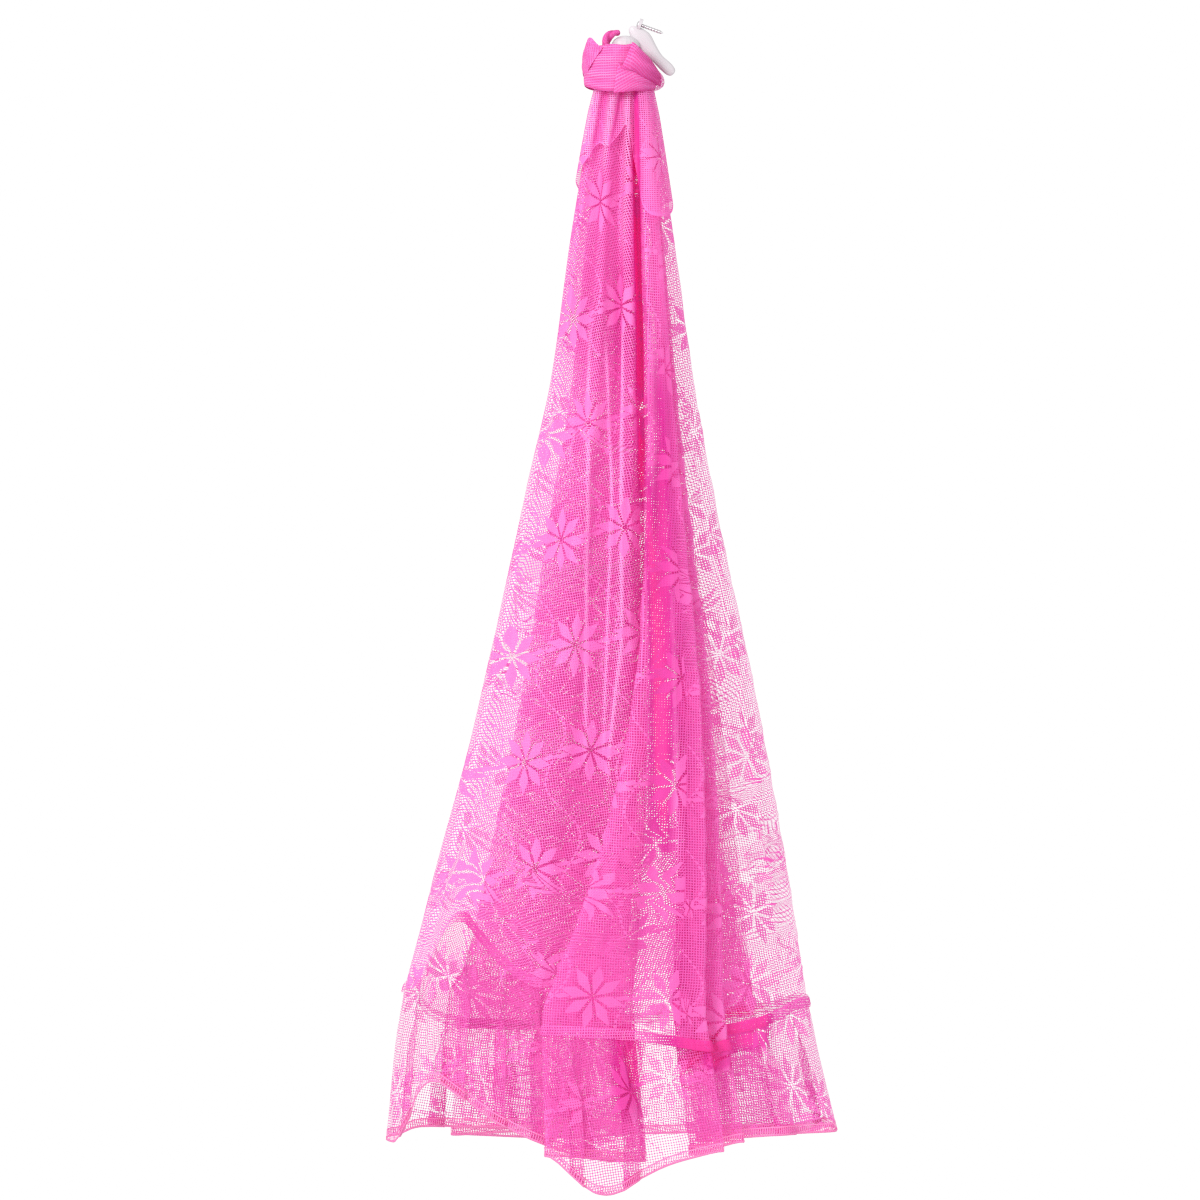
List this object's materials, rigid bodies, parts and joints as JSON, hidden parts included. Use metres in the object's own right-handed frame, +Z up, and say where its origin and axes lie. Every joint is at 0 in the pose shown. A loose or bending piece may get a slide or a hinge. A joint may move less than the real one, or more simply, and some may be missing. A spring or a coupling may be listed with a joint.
{
  "type": "mosquito net canopy with hook",
  "caption": "Sheer pink mosquito net canopy with a jacquard flower pattern, its top knotted over a white plastic hook, hanging in soft folds to a pleated flounce",
  "frame": {"origin": "on the flat fixing face of the hook's eye plate, 4.4 mm above the screw's axis, where the hook meets what it is screwed to", "axes": "+Z up along the hanging net, +X to the right as seen from the front, the front faces -Y"},
  "size_m": [0.4704, 0.2525, 1.2224],
  "materials": {
    "net": "open warp-knitted polyester net with denser jacquard flowers, sheer",
    "tape": "narrow gathered strip of the same net, several layers thick",
    "hook_plastic": "off-white moulded plastic, lightly glossy",
    "screw_steel": "bright zinc-plated steel"
  },
  "bodies": {
    "root": {"net_body": "net", "cap_layer": "net", "flounce": "net", "join_tape": "tape", "knot_band": "net", "knot_wrap": "net", "knot_loop": "net", "knot_tail": "net", "hook": "hook_plastic", "screw": "screw_steel"}
  },
  "joints": []
}
